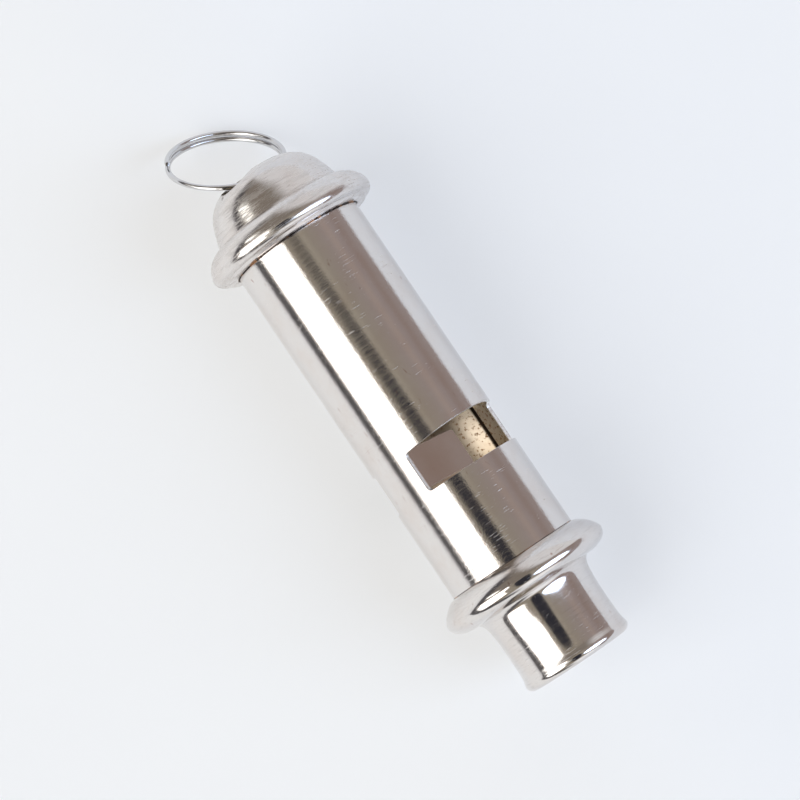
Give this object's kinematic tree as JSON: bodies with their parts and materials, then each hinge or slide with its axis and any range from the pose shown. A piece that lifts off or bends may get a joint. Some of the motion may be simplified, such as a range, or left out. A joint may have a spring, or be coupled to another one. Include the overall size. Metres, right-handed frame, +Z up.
{
  "type": "dog whistle",
  "caption": "Tubular nickel-plated whistle with side windows, a domed cap, a beaded mouthpiece and a split ring that swings on the crown.",
  "frame": {"origin": "centre of the mouth opening, on the axis of the barrel, in the flat end of the mouthpiece", "axes": "+X along the barrel and out of the mouth end, +Z up from the surface that the whistle lies on, +Y to the side that the upper window leans to"},
  "size_m": [0.0951, 0.0266, 0.0266],
  "materials": {
    "nickel": "bright nickel plate with fine wear and dark specks",
    "nickel_turned": "polished nickel plate",
    "nickel_pressed": "nickel plate with fine turned streaks on the dome",
    "inner_plate": "polished plated strip",
    "inner_brass": "plain brass",
    "ring_wire": "bright plated spring wire"
  },
  "bodies": {
    "whistle": {"barrel_tube": "nickel", "partition_plate": "inner_plate", "end_disc": "inner_brass", "chamber_stop": "inner_brass", "upper_voicing_block": "inner_brass", "lower_voicing_block": "inner_brass", "mouthpiece": "nickel_turned", "cap": "nickel_pressed"},
    "ring": {"split_ring": "ring_wire"}
  },
  "joints": [
    {"name": "ring_swing", "type": "hinge", "parent": "whistle", "child": "ring", "pos_m": [-0.08302, 0.00001, -0.00053], "axis": [0, 0.866, -0.5], "range_deg": [-5, 115]}
  ]
}
